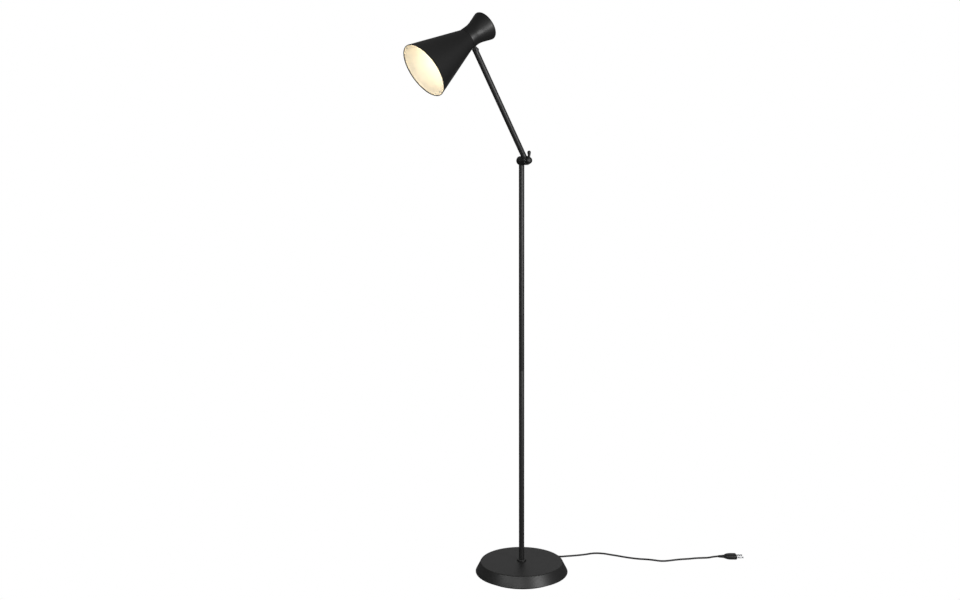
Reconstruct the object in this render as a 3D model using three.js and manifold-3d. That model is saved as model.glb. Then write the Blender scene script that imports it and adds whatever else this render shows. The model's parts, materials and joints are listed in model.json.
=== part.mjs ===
// Adjustable arm floor lamp: weighted round base, two-piece pole, clamped arm, tilting shade and mains cord.
// Millimetres, +Z up. The origin is the centre of the foot's underside, on the pole's axis.
// The arm and the shade lean towards -X, every tilt axis runs along Y, and the clamp lever is on the -Y side.
import * as THREE from 'three';
import { mergeVertices } from 'three/addons/utils/BufferGeometryUtils.js';
import Module from 'manifold-3d';

const wasm = await Module();
wasm.setup();

// ---------------------------------------------------------------------------
// Driving dimensions
// ---------------------------------------------------------------------------

const DEG = Math.PI / 180;
const GAP = 0.3; // clearance between touching pieces
const OVER = 1; // how far a cutting solid runs past the face that it opens

// Round tubes of the pole and the arm
const TUBE_R = 7.3;
const TUBE_BORE_R = 6.1;
const SPIGOT_R = TUBE_BORE_R - GAP;
const LEAD_R = 1.6; // the two-core lead inside the tubes
const LEAD_BORE_R = 2.1;
const BASE_LEAD_TOP_Z = 8.7; // where the base's lead meets the pole's

// Base
const PAD_R = 107;
const PAD_TOP_Z = 3;
const PLATE_R = 108;
const PLATE_TOP_Z = 6;
const PLATE_HOLE_R = 18;
const RIM_R = 127; // widest radius of the cover
const RIM_Z = 9.4; // the cover's lower edge
const TOP_R = 112.3; // where the cover's side would meet its top
const TOP_Z = 38;
const DOME = 2; // rise of the cover's top towards the pole
const COVER_WALL = 2;
const COVER_EDGE_R = 3;
const WEIGHT_R = 104;
const WEIGHT_Z = PLATE_TOP_Z + GAP;
const WEIGHT_TOP_Z = 18;
const BOSS_R = 22;
const COUNTERBORE_R = 16;
const COUNTERBORE_Z = 16.1;
const CHANNEL_TOP_Z = 14.5;
const CHANNEL_WIDTH = 8;

// Hollow stud that holds the pole down on the base
const STUD_R = 4;
const STUD_BORE_R = 2;
const STUD_Z = 7.6;
const STUD_TOP_Z = 64;
const STUD_HOLE_R = STUD_R + GAP;
const NUT_Z = 8;
const NUT_TOP_Z = 14;
const NUT_CORNER_R = 7.5;
const WASHER_R = 12;
const COLLAR_R = 12.4;
const COLLAR_HEIGHT = 4;
const COLLAR_EDGE_R = 1.7;

// Pole
const POLE_Z = TOP_Z + DOME + COLLAR_HEIGHT + 2 * GAP;
const SEAM_Z = 568; // where the two pole tubes meet
const COUPLING_LENGTH = 60;
const SOCKET_LENGTH = 30;
const POLE_TOP_Z = 1106;

// Clamped joint between the pole and the arm
const JOINT_Z = 1128;
const KNUCKLE_R = 11.8;
const KNUCKLE_EDGE_R = 1.6;
const POLE_KNUCKLE_HALF = 9;
const ARM_KNUCKLE_HALF = 8.5;
const ARM_Y = -20; // the arm's plane beside the pole's axis
const BOLT_R = 3;
const BOLT_HOLE_R = 3.3;
const BOLT_END_Y = -37.5;
const SPIGOT_LENGTH = 26;
const STEM_LENGTH = 22; // from the joint's axis to the end of the tube
const LEVER_Y = -30.3; // the hub's inner face
const LEVER_PEG_Y = -35.4;
const LEVER_HUB_R = 9;
const LEVER_TIP_R = 4.75;
const LEVER_TIP_Z = 25.5; // the tip's height above the joint's axis

// Arm
const ARM_LEAN = 29 * DEG; // from vertical, towards -X
const ARM_LENGTH = 313; // from the clamped joint's axis to the shade's pivot
const FORK_LENGTH = 22; // from the tube's end to the pivot
const SLOT_HALF = 2.6;
const SLOT_DEPTH = 9.5;
const PIN_R = 1.9;
const PIN_HOLE_R = 2.2;
const PIN_HEAD_R = 3.8;
const PIN_END_Y = 9.4;
const PIN_NUT_CORNER_R = 4.1;
const PIN_NUT_THICKNESS = 2.4;
const PIN_SEAT_R = 4.5;
const PIN_SEAT_HALF = 6.3; // half the width across the seats of the pin's head and nut

// Shade, in its own frame: the mouth is at Z = 0, the axis runs along +Z and the pivot is on the +X side
const SHADE_DIP = 34 * DEG; // the mouth's axis below horizontal
const PIVOT_X = 35;
const PIVOT_Z = 155;
const SHADE_WALL = 1;
const MOUTH_R = 72.3;
const NECK_R = 26.9;
const CONE_LENGTH = 147;
const FLARE_Z = 165;
const FLARE_BLEND_R = 68;
const FLARE_ANGLE = 17.6 * DEG;
const REAR_Z = 216;
const REAR_EDGE_R = 4.5;
const REAR_LIP_R = 32;
const FLANGE_BORE_R = 20;
const TONGUE_HALF = 2.3;
const TONGUE_EYE_R = 6.5;
const TONGUE_LENGTH_Z = 12.4;
const BRACKET_Z = CONE_LENGTH + SHADE_WALL + 2 * GAP;
const BRACKET_THICKNESS = 1.5;
const BRACKET_R = 25.2;

// Lamp holder and bulb
const HOLDER_R = 19.6;
const HOLDER_Z = 142;
const HOLDER_END_Z = 198;
const HOLDER_BORE_R = 14.7;
const HOLDER_BORE_END_Z = 182;
const SHOULDER_R = 24.1;
const HOLDER_RING_R = 24.5;
const BULB_CAP_R = 13.3;
const BULB_CAP_Z = 152;
const BULB_R = 30;
const BULB_Z = 104; // centre of the bulb's round part
const BULB_WALL = 1;

// Push switch in the rear cap
const REAR_CAP_R = 33.7;
const REAR_CAP_Z = REAR_Z - SHADE_WALL - GAP - SHADE_WALL;
const VENT_R = 2.4;
const VENT_RING_R = 23;
const VENT_COUNT = 10;
const SWITCH_R = 9;
const SWITCH_Z = 200;
const SWITCH_BUSH_R = 6.5;
const SWITCH_NUT_CORNER_R = 10;
const SWITCH_NUT_THICKNESS = 2;
const BUTTON_R = 4.5;
const BUTTON_EDGE_R = 1.2;
const BUTTON_TIP_Z = REAR_Z + 5.5;
const BUTTON_FOOT_Z = SWITCH_Z + 9.5;

// Mains cord. Its route, hank and plug are laid out on the floor in a frame turned about the pole.
const CORD_ANGLE = -33.33 * DEG;
const CORD_R = 2.5;
const GLAND_TURN = CORD_ANGLE + 30 * DEG; // the gland's direction, from +Y
const GLAND_Z = 15;
const GLAND_TIP_Y = 143.9;
const GLAND_BOOT_R = 6.6;
const GLAND_NECK_R = 4.2;
const GLAND_INNER_Y = 112; // the gland's flange inside the cover
const HANK_X = 3;
const HANK_Y = 154;
const HANK_HALF_RUN = 37.5;
const HANK_R = 25;
const HANK_Z = 1.2;
const HANK_TOP_Z = 11.2;
const TIE_HALF_WIDTH = 5;
const TIE_THICKNESS = 0.8;
const PLUG_ANGLE = 1.5 * DEG;
const PLUG_Z = 7;
const PLUG_LENGTH = 52;
const PLUG_HALF_WIDTH = 13.2;
const PLUG_THICKNESS = 13.6;
const PLUG_PIN_R = 2;
const PIN_SPACING = 18.4;

// From the gland to the hank
const LEAD_IN = [
  [-72.1, 124.9, 15],
  [-75.7, 131.2, 14.4],
  [-80.4, 139.3, 11.9],
  [-83.2, 148.1, 8.8],
  [-82, 157.4, 6],
  [-77, 165.2, 4.4],
  [-69.2, 170.2, 3.8],
  [-61, 171.5, 3.7],
  [-55.3, 171.5, 3.7],
];

// From the hank to the plug, in loose curves
const LEAD_OUT = [
  [57.4, 175.5, 3.6],
  [67.5, 172.4, 3.3],
  [76.5, 165.6, 3],
  [83.5, 156, 2.7],
  [90.3, 146, 2.6],
  [98, 137.8, 2.6],
  [107, 133.2, 2.6],
  [116, 132.8, 2.6],
  [126, 135.4, 2.6],
  [148, 140.4, 2.6],
  [171, 147, 2.6],
  [186, 152.5, 2.6],
  [200, 158.8, 2.6],
  [214, 162.3, 2.6],
  [228, 161.7, 2.6],
  [241, 158.4, 2.6],
  [255, 152, 2.6],
  [274, 143.6, 2.6],
  [296, 133, 2.6],
  [316, 125.2, 2.6],
  [335, 119.8, 2.6],
  [351, 117.5, 2.6],
  [364, 115, 2.6],
  [379, 110, 2.6],
  [392, 105.6, 2.6],
  [404, 105.2, 2.6],
  [418, 108.6, 2.6],
  [435, 114.5, 2.6],
  [453, 119.8, 2.6],
  [476, 124.3, 2.6],
  [497, 130, 2.6],
  [515, 132.7, 2.6],
  [533, 133.8, 3.2],
  [547, 134.3, 5.6],
  [560, 134.7, PLUG_Z],
];

// Smoothness of the round pieces
const LEAD_SIDES = 12;
const COARSE_SIDES = 16;
const SIDES = 24;
const FINE_SIDES = 40;
const BROAD_SIDES = 56;

// ---------------------------------------------------------------------------
// Materials
// ---------------------------------------------------------------------------

const finish = (color, roughness, metalness) =>
  new THREE.MeshStandardMaterial({ color, roughness, metalness });
const satinBlack = finish(0x2c2c2c, 0.5, 0.1);
const blackPlastic = finish(0x1c1c1c, 0.55, 0);
const cordRubber = finish(0x202022, 0.6, 0);
const felt = finish(0x181818, 0.95, 0);
const castIron = finish(0x4a4a4c, 0.8, 0.6);
const steel = finish(0xb8bcc0, 0.3, 1);
const whiteLacquer = finish(0xfff2dc, 0.6, 0);
const opalGlass = finish(0xfff6e0, 0.35, 0);
const whitePlastic = finish(0xece8de, 0.5, 0);

// ---------------------------------------------------------------------------
// Shape helpers
// ---------------------------------------------------------------------------

/** Points [across, along] on an arc, angles in degrees. */
function arc(across, along, radius, from, to, steps) {
  return Array.from({ length: steps + 1 }, (_, i) => {
    const angle = (from + ((to - from) * i) / steps) * DEG;
    return [across + radius * Math.cos(angle), along + radius * Math.sin(angle)];
  });
}

/** Closed mesh with shared corners, no flat triangles and its faces pointing out. */
function tidy(geometry) {
  geometry.deleteAttribute('normal');
  geometry.deleteAttribute('uv');
  const merged = mergeVertices(geometry, 1e-4);
  const corners = merged.index.array;
  const at = merged.attributes.position;
  const [a, b, c] = [new THREE.Vector3(), new THREE.Vector3(), new THREE.Vector3()];
  const kept = [];
  let volume = 0;
  for (let i = 0; i < corners.length; i += 3) {
    const [p, q, r] = corners.subarray(i, i + 3);
    if (p === q || q === r || r === p) continue;
    kept.push(p, q, r);
    a.fromBufferAttribute(at, p);
    b.fromBufferAttribute(at, q);
    c.fromBufferAttribute(at, r);
    volume += a.dot(b.cross(c));
  }
  if (volume < 0) kept.reverse();
  merged.setIndex(kept);
  merged.clearGroups();
  return merged;
}

/** Solid of revolution about Z from [radius, height] points. */
function revolve(profile, segments = SIDES) {
  const points = profile.map(([r, z]) => new THREE.Vector2(r, z));
  return tidy(new THREE.LatheGeometry(points, segments).rotateX(Math.PI / 2));
}

/** Solid of revolution about Y from [radius, y] points. */
function revolveY(profile, segments = SIDES) {
  return revolve(profile, segments).rotateX(-Math.PI / 2);
}

/** Cylinder along Z. */
function rod(radius, from, to, segments = SIDES) {
  return tidy(
    new THREE.CylinderGeometry(radius, radius, to - from, segments)
      .rotateX(Math.PI / 2)
      .translate(0, 0, (from + to) / 2),
  );
}

/** Cylinder along Y. */
function rodY(radius, from, to, segments = SIDES) {
  const bar = new THREE.CylinderGeometry(radius, radius, to - from, segments);
  return tidy(bar.translate(0, (from + to) / 2, 0));
}

/** Tube along Z. */
function tube(radius, bore, from, to, segments = SIDES) {
  return revolve([[bore, from], [radius, from], [radius, to], [bore, to], [bore, from]], segments);
}

/** Box between two corners. */
function block([x0, y0, z0], [x1, y1, z1]) {
  return tidy(
    new THREE.BoxGeometry(x1 - x0, y1 - y0, z1 - z0).translate((x0 + x1) / 2, (y0 + y1) / 2, (z0 + z1) / 2),
  );
}

function toSolid(geometry) {
  return new wasm.Manifold(
    new wasm.Mesh({
      numProp: 3,
      vertProperties: geometry.attributes.position.array,
      triVerts: Uint32Array.from(geometry.index.array),
    }),
  );
}

function toGeometry(solid) {
  const mesh = solid.getMesh();
  const geometry = new THREE.BufferGeometry();
  geometry.setAttribute('position', new THREE.BufferAttribute(mesh.vertProperties, 3));
  geometry.setIndex(new THREE.BufferAttribute(mesh.triVerts, 1));
  return geometry;
}

const join = (...pieces) => toGeometry(pieces.map(toSolid).reduce((all, piece) => all.add(piece)));
const cut = (body, ...tools) =>
  toGeometry(tools.map(toSolid).reduce((rest, tool) => rest.subtract(tool), toSolid(body)));
const common = (a, b) => toGeometry(toSolid(a).intersect(toSolid(b)));

/** Round bar swept along a smooth curve through points. */
function sweep(points, radius, sides, steps) {
  const section = new THREE.Shape();
  section.absarc(0, 0, radius, 0, 2 * Math.PI);
  return tidy(
    new THREE.ExtrudeGeometry(section, {
      steps,
      curveSegments: sides / 2,
      bevelEnabled: false,
      extrudePath: new THREE.CatmullRomCurve3(points.map((p) => new THREE.Vector3(...p))),
    }),
  );
}

const lamp = new THREE.Group();
const arm = new THREE.Group();
arm.position.set(0, ARM_Y, JOINT_Z);
arm.rotation.y = -ARM_LEAN;
lamp.add(arm);
const head = new THREE.Group();
head.position.set(0, 0, ARM_LENGTH);
head.rotation.y = ARM_LEAN + Math.PI / 2 - SHADE_DIP;
arm.add(head);
const shade = new THREE.Group();
shade.position.set(-PIVOT_X, 0, -PIVOT_Z);
head.add(shade);

function add(parent, name, geometry, material) {
  const mesh = new THREE.Mesh(geometry, material);
  mesh.name = name;
  parent.add(mesh);
  return mesh;
}

// ---------------------------------------------------------------------------
// Base
// ---------------------------------------------------------------------------

const SIDE_ANGLE = Math.atan2(TOP_R - RIM_R, TOP_Z - RIM_Z) / -DEG; // the side's lean from vertical

/** Height of the cover's domed top at a radius. */
const domeZ = (radius) => TOP_Z + DOME * (1 - (radius / TOP_R) ** 2);

/** Radius of the cover's conical side at a height. */
const sideR = (z) => RIM_R + ((TOP_R - RIM_R) * (z - RIM_Z)) / (TOP_Z - RIM_Z);

function baseCover() {
  const edgeZ = TOP_Z - COVER_EDGE_R;
  const edgeR = sideR(edgeZ) - COVER_EDGE_R / Math.cos(SIDE_ANGLE * DEG);
  const outside = [STUD_HOLE_R, 40, 75].map((r) => [r, domeZ(r)]);
  const edge = arc(edgeR, edgeZ, COVER_EDGE_R, 86, SIDE_ANGLE, 4);
  const hem = arc(RIM_R - 2.4, RIM_Z + 1.2, 1.2, SIDE_ANGLE, -180 + SIDE_ANGLE, 4);
  const inside = [[sideR(edgeZ) - 2.6, edgeZ - 1.4], [edgeR, TOP_Z - COVER_WALL]];
  const under = [75, 40, STUD_HOLE_R].map((r) => [r, domeZ(r) - COVER_WALL]);
  const profile = [...outside, ...edge, ...hem, ...inside, ...under, outside[0]];
  const glandHole = rodY(GLAND_NECK_R + 0.4, WEIGHT_R, RIM_R + OVER, COARSE_SIDES).translate(0, 0, GLAND_Z);
  return cut(revolve(profile, BROAD_SIDES), glandHole.rotateZ(GLAND_TURN));
}

function baseWeight() {
  const profile = [
    [STUD_HOLE_R, COUNTERBORE_Z],
    [COUNTERBORE_R, COUNTERBORE_Z],
    [COUNTERBORE_R, WEIGHT_Z],
    [WEIGHT_R, WEIGHT_Z],
    [WEIGHT_R, WEIGHT_TOP_Z],
    [BOSS_R + 4, WEIGHT_TOP_Z],
    [BOSS_R, WEIGHT_TOP_Z + 4],
    [BOSS_R, domeZ(BOSS_R) - COVER_WALL - GAP],
    [STUD_HOLE_R, domeZ(BOSS_R) - COVER_WALL - GAP],
    [STUD_HOLE_R, COUNTERBORE_Z],
  ];
  const half = CHANNEL_WIDTH / 2;
  const channel = block([-half, COUNTERBORE_R - 6, WEIGHT_Z - OVER], [half, WEIGHT_R + OVER, CHANNEL_TOP_Z]);
  return cut(revolve(profile, FINE_SIDES), channel.rotateZ(GLAND_TURN));
}

function baseCollar() {
  const bottom = TOP_Z + DOME + GAP;
  const top = bottom + COLLAR_HEIGHT;
  const edge = arc(COLLAR_R - COLLAR_EDGE_R, top - COLLAR_EDGE_R, COLLAR_EDGE_R, 0, 90, 4);
  const foot = [STUD_HOLE_R, bottom];
  return revolve([foot, [COLLAR_R, bottom], ...edge, [STUD_HOLE_R, top], foot]);
}

/** Hexagon nut or head along Z. */
function hexagon(cornerRadius, bore, from, to) {
  return cut(rod(cornerRadius, from, to, 6), rod(bore, from - OVER, to + OVER, COARSE_SIDES));
}

function cordGland() {
  const rim = RIM_R + GAP;
  const coverSide = revolve([[0, 0], [rim, 0], [rim, RIM_Z], [TOP_R + GAP, TOP_Z], [0, TOP_Z]], BROAD_SIDES);
  const bootY = GLAND_INNER_Y + 6;
  const boot = revolveY(
    [[0, bootY], [GLAND_BOOT_R, bootY], [GLAND_BOOT_R, 129], [3.3, GLAND_TIP_Y], [0, GLAND_TIP_Y]],
    COARSE_SIDES,
  );
  const outside = cut(boot.translate(0, 0, GLAND_Z), coverSide);
  const neck = rodY(GLAND_NECK_R, GLAND_INNER_Y, RIM_R + 3, COARSE_SIDES).translate(0, 0, GLAND_Z);
  const flange = rodY(GLAND_BOOT_R - 0.2, GLAND_INNER_Y, GLAND_INNER_Y + 5, COARSE_SIDES);
  return join(outside, neck, flange.translate(0, 0, GLAND_Z)).rotateZ(GLAND_TURN);
}

function baseLead() {
  const route = [
    [0, 111.6, 13.6],
    [0, 100, 12.2],
    [0, 60, 10.6],
    [0, 25, 9.6],
    [0, 15, 7.6],
    [0, 8, 5.2],
    [0, 3, 5],
    [0, 0.5, 5.9],
    [0, 0, 7.4],
    [0, 0, BASE_LEAD_TOP_Z],
  ];
  return sweep(route, LEAD_R, LEAD_SIDES, 40).rotateZ(GLAND_TURN);
}

add(lamp, 'foot_pad', rod(PAD_R, 0, PAD_TOP_Z, FINE_SIDES), felt);
add(lamp, 'base_plate', tube(PLATE_R, PLATE_HOLE_R, PAD_TOP_Z + GAP, PLATE_TOP_Z, FINE_SIDES), satinBlack);
add(lamp, 'base_weight', baseWeight(), castIron);
add(lamp, 'base_cover', baseCover(), satinBlack);
add(lamp, 'base_stud', tube(STUD_R, STUD_BORE_R, STUD_Z, STUD_TOP_Z, COARSE_SIDES), steel);
add(lamp, 'stud_washer', tube(WASHER_R, STUD_HOLE_R, NUT_TOP_Z + GAP, COUNTERBORE_Z - GAP), steel);
add(lamp, 'stud_nut', hexagon(NUT_CORNER_R, STUD_HOLE_R, NUT_Z, NUT_TOP_Z), steel);
add(lamp, 'base_collar', baseCollar(), satinBlack);
add(lamp, 'cord_gland', cordGland(), blackPlastic);
add(lamp, 'base_lead', baseLead(), whitePlastic);

// ---------------------------------------------------------------------------
// Pole
// ---------------------------------------------------------------------------

const poleLeadTopZ = POLE_TOP_Z - SPIGOT_LENGTH / 2;
add(lamp, 'pole_socket', tube(SPIGOT_R, STUD_HOLE_R, POLE_Z + GAP, POLE_Z + SOCKET_LENGTH), steel);
add(lamp, 'lower_pole', tube(TUBE_R, TUBE_BORE_R, POLE_Z, SEAM_Z - GAP / 2), satinBlack);
add(
  lamp,
  'pole_coupling',
  tube(SPIGOT_R, LEAD_BORE_R, SEAM_Z - COUPLING_LENGTH / 2, SEAM_Z + COUPLING_LENGTH / 2),
  steel,
);
add(lamp, 'upper_pole', tube(TUBE_R, TUBE_BORE_R, SEAM_Z + GAP / 2, POLE_TOP_Z - GAP), satinBlack);
add(lamp, 'pole_lead', rod(LEAD_R, BASE_LEAD_TOP_Z + GAP, poleLeadTopZ, LEAD_SIDES), whitePlastic);

// ---------------------------------------------------------------------------
// Clamped joint
// ---------------------------------------------------------------------------

/** Knuckle: a round body along Y with eased edges, a stem down to the tube and a spigot inside it. */
function knuckle(half, stemSign) {
  const edge = KNUCKLE_EDGE_R;
  const body = revolveY([
    [0, -half],
    ...arc(KNUCKLE_R - edge, -half + edge, edge, -90, 0, 3),
    ...arc(KNUCKLE_R - edge, half - edge, edge, 0, 90, 3),
    [0, half],
  ]);
  const along = (from, to) => [stemSign * from, stemSign * to].sort((p, q) => p - q);
  const spigotEnd = STEM_LENGTH + SPIGOT_LENGTH;
  const stem = rod(TUBE_R, ...along(0, STEM_LENGTH));
  const spigot = rod(SPIGOT_R, ...along(STEM_LENGTH - OVER, spigotEnd));
  const boltHole = rodY(BOLT_HOLE_R, -half - OVER, half + OVER, COARSE_SIDES);
  return cut(join(body, stem, spigot), boltHole, rod(LEAD_BORE_R, ...along(0, spigotEnd + OVER), LEAD_SIDES));
}

/** Bolt with a domed head on the pole's side and its end inside the lever's hub. */
function jointBolt() {
  const headY = POLE_KNUCKLE_HALF + GAP;
  const dome = arc(2.4, headY - 2.9, 6.4, 27, 68, 4);
  return revolveY(
    [[0, BOLT_END_Y], [BOLT_R, BOLT_END_Y], [BOLT_R, headY], [8, headY], ...dome, [0, headY + 3.4]],
    COARSE_SIDES,
  );
}

function clampLever() {
  const dome = [[LEVER_HUB_R, -36], [8.2, -38.2], [6, -40.2], [3, -41], [0, -41.2]];
  const hub = revolveY([[0, LEVER_Y], [LEVER_HUB_R, LEVER_Y], ...dome]);
  const tip = arc(0, LEVER_TIP_Z - LEVER_TIP_R, LEVER_TIP_R, -10, 90, 7);
  const peg = revolve([[0, 4], [2.9, 4], [2.9, 9], ...tip], COARSE_SIDES).translate(0, LEVER_PEG_Y, 0);
  return cut(join(hub, peg), rodY(BOLT_HOLE_R, BOLT_END_Y - 0.5, LEVER_Y + OVER, COARSE_SIDES));
}

function ringY(radius, bore, from, to) {
  return revolveY([[bore, from], [radius, from], [radius, to], [bore, to], [bore, from]]);
}

const armKnuckleInner = ARM_Y + ARM_KNUCKLE_HALF;
const armKnuckleOuter = ARM_Y - ARM_KNUCKLE_HALF;
add(lamp, 'pole_knuckle', knuckle(POLE_KNUCKLE_HALF, -1), satinBlack).position.z = JOINT_Z;
add(
  lamp,
  'friction_washer',
  ringY(11, BOLT_HOLE_R, armKnuckleInner + GAP, -POLE_KNUCKLE_HALF - GAP),
  blackPlastic,
).position.z = JOINT_Z;
add(
  lamp,
  'outer_washer',
  ringY(8.6, BOLT_HOLE_R, LEVER_Y + GAP, armKnuckleOuter - GAP),
  steel,
).position.z = JOINT_Z;
add(lamp, 'joint_bolt', jointBolt(), steel).position.z = JOINT_Z;
add(lamp, 'clamp_lever', clampLever(), blackPlastic).position.z = JOINT_Z;

// ---------------------------------------------------------------------------
// Arm
// ---------------------------------------------------------------------------

const forkFoot = ARM_LENGTH - FORK_LENGTH;

function armFork() {
  const shank = rod(TUBE_R, forkFoot, ARM_LENGTH + TUBE_R + OVER);
  const outline = join(
    block([-TUBE_R - OVER, -TUBE_R - OVER, forkFoot], [TUBE_R + OVER, TUBE_R + OVER, ARM_LENGTH]),
    rodY(TUBE_R, -TUBE_R - OVER, TUBE_R + OVER).translate(0, 0, ARM_LENGTH),
  );
  const spigot = rod(SPIGOT_R, forkFoot - SPIGOT_LENGTH, forkFoot + OVER);
  const past = TUBE_R + 2 * OVER;
  const slot = block([-past, -SLOT_HALF, ARM_LENGTH - SLOT_DEPTH], [past, SLOT_HALF, ARM_LENGTH + past]);
  const seats = [-1, 1].map((side) => {
    const ends = [side * PIN_SEAT_HALF, side * past].sort((p, q) => p - q);
    return rodY(PIN_SEAT_R, ...ends, COARSE_SIDES).translate(0, 0, ARM_LENGTH);
  });
  const hole = rodY(PIN_HOLE_R, -past, past, COARSE_SIDES).translate(0, 0, ARM_LENGTH);
  const leadBore = rod(
    LEAD_BORE_R,
    forkFoot - SPIGOT_LENGTH - OVER,
    ARM_LENGTH - SLOT_DEPTH + OVER,
    LEAD_SIDES,
  );
  return cut(join(common(shank, outline), spigot), slot, ...seats, hole, leadBore);
}

function headPin() {
  const seat = -PIN_SEAT_HALF - GAP;
  const head = [[0, seat - 2.2], [2.4, seat - 1.9], [PIN_HEAD_R, seat - 0.8], [PIN_HEAD_R, seat]];
  return revolveY([...head, [PIN_R, seat], [PIN_R, PIN_END_Y], [0, PIN_END_Y]], COARSE_SIDES);
}

function headPinNut() {
  const face = PIN_SEAT_HALF + GAP;
  return hexagon(PIN_NUT_CORNER_R, PIN_HOLE_R, face, face + PIN_NUT_THICKNESS).rotateX(-Math.PI / 2);
}

add(arm, 'arm_knuckle', knuckle(ARM_KNUCKLE_HALF, 1), satinBlack);
add(arm, 'arm_tube', tube(TUBE_R, TUBE_BORE_R, STEM_LENGTH + GAP, forkFoot - GAP), satinBlack);
add(arm, 'arm_lead', rod(LEAD_R, STEM_LENGTH + SPIGOT_LENGTH / 2, forkFoot, LEAD_SIDES), whitePlastic);
add(arm, 'arm_fork', armFork(), satinBlack);
add(arm, 'head_pin', headPin(), steel).position.z = ARM_LENGTH;
add(arm, 'head_pin_nut', headPinNut(), steel).position.z = ARM_LENGTH;

// ---------------------------------------------------------------------------
// Shade
// ---------------------------------------------------------------------------

function headBracket() {
  const half = TONGUE_HALF;
  const ring = tube(BRACKET_R, HOLDER_R + 2 * GAP, BRACKET_Z, BRACKET_Z + BRACKET_THICKNESS, FINE_SIDES);
  const tongue = block([SHOULDER_R + GAP, -half, BRACKET_Z], [PIVOT_X, half, BRACKET_Z + TONGUE_LENGTH_Z]);
  const eye = rodY(TONGUE_EYE_R, -half, half, SIDES).translate(PIVOT_X, 0, PIVOT_Z);
  const hole = rodY(PIN_HOLE_R, -half - OVER, half + OVER, COARSE_SIDES).translate(PIVOT_X, 0, PIVOT_Z);
  return cut(join(ring, tongue, eye), hole);
}

function shadeCone() {
  const flangeZ = CONE_LENGTH - SHADE_WALL;
  return revolve(
    [
      [FLANGE_BORE_R, CONE_LENGTH],
      [NECK_R - 0.8, CONE_LENGTH],
      [NECK_R, CONE_LENGTH - 0.8],
      [MOUTH_R, 0.6],
      [MOUTH_R - 0.6, 0],
      [MOUTH_R - SHADE_WALL, 0.4],
      [NECK_R - SHADE_WALL + 0.4, flangeZ],
      [FLANGE_BORE_R, flangeZ],
      [FLANGE_BORE_R, CONE_LENGTH],
    ],
    BROAD_SIDES,
  );
}

/** Outline of the rear shell's outer or inner surface: neck, blend, straight flare and rounded edge. */
function flare(inset, startZ, steps) {
  const blend = FLARE_BLEND_R + inset;
  const blendX = NECK_R + FLARE_BLEND_R;
  const turn = FLARE_ANGLE / DEG;
  const edgeZ = REAR_Z - REAR_EDGE_R;
  const flareEndR = NECK_R + FLARE_BLEND_R * (1 - Math.cos(FLARE_ANGLE));
  const flareRun = edgeZ - FLARE_Z - (REAR_EDGE_R + FLARE_BLEND_R) * Math.sin(FLARE_ANGLE);
  const edgeX = flareEndR + flareRun * Math.tan(FLARE_ANGLE) - REAR_EDGE_R * Math.cos(FLARE_ANGLE);
  return [
    [NECK_R - inset, startZ],
    ...arc(blendX, FLARE_Z, blend, 180, 180 - turn, steps),
    ...arc(edgeX, edgeZ, REAR_EDGE_R - inset, -turn, 90, steps),
  ];
}

function rearShell() {
  const startZ = CONE_LENGTH + GAP;
  const outer = flare(0, startZ + 0.8, 4);
  const inner = flare(SHADE_WALL, startZ + SHADE_WALL, 3).reverse();
  const profile = [
    [FLANGE_BORE_R, startZ],
    [NECK_R - 0.8, startZ],
    ...outer,
    [REAR_LIP_R, REAR_Z],
    [REAR_LIP_R, REAR_Z - SHADE_WALL],
    ...inner,
    [FLANGE_BORE_R, startZ + SHADE_WALL],
    [FLANGE_BORE_R, startZ],
  ];
  const slot = block(
    [HOLDER_R, -TONGUE_HALF - 0.4, BRACKET_Z - GAP],
    [NECK_R + OVER, TONGUE_HALF + 0.4, BRACKET_Z + TONGUE_LENGTH_Z + GAP],
  );
  return cut(revolve(profile, FINE_SIDES), slot);
}

function rearCap() {
  const vent = (angle) =>
    rod(VENT_R, REAR_CAP_Z - OVER, REAR_Z, LEAD_SIDES).translate(VENT_RING_R, 0, 0).rotateZ(angle);
  const vents = Array.from({ length: VENT_COUNT }, (_, i) => vent((i * 2 * Math.PI) / VENT_COUNT));
  const disc = tube(REAR_CAP_R, SWITCH_BUSH_R + GAP, REAR_CAP_Z, REAR_CAP_Z + SHADE_WALL, FINE_SIDES);
  return cut(disc, ...vents);
}

function lampHolder() {
  const shoulderZ = BRACKET_Z + BRACKET_THICKNESS + GAP;
  return revolve([
    [0, HOLDER_BORE_END_Z],
    [HOLDER_BORE_R, HOLDER_BORE_END_Z],
    [HOLDER_BORE_R, HOLDER_Z],
    [HOLDER_R, HOLDER_Z],
    [HOLDER_R, shoulderZ],
    [SHOULDER_R, shoulderZ],
    [SHOULDER_R, shoulderZ + 2.4],
    [HOLDER_R, shoulderZ + 2.4],
    [HOLDER_R, HOLDER_END_Z - 8],
    [HOLDER_R - 5, HOLDER_END_Z],
    [0, HOLDER_END_Z],
  ]);
}

function bulbCap() {
  const endZ = HOLDER_BORE_END_Z - 2;
  return revolve([
    [0, endZ],
    [4, endZ],
    [4, endZ - 1.6],
    [12, endZ - 4],
    [BULB_CAP_R, endZ - 6],
    [BULB_CAP_R, BULB_CAP_Z],
    [BULB_CAP_R - BULB_WALL, BULB_CAP_Z],
    [BULB_CAP_R - BULB_WALL, endZ - 8],
    [0, endZ - 8],
  ]);
}

function bulbGlobe() {
  const neck = [[14.8, BULB_Z + 33], [13.6, BULB_Z + 42], [BULB_CAP_R, BULB_CAP_Z - GAP]];
  const outer = [...arc(0, BULB_Z, BULB_R, -90, 38, 9), ...neck];
  const innerNeck = neck.map(([r, z]) => [r - BULB_WALL, z]);
  const inner = [...arc(0, BULB_Z, BULB_R - BULB_WALL, -90, 38, 9), ...innerNeck];
  return revolve([...outer, ...inner.reverse()]);
}

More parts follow.
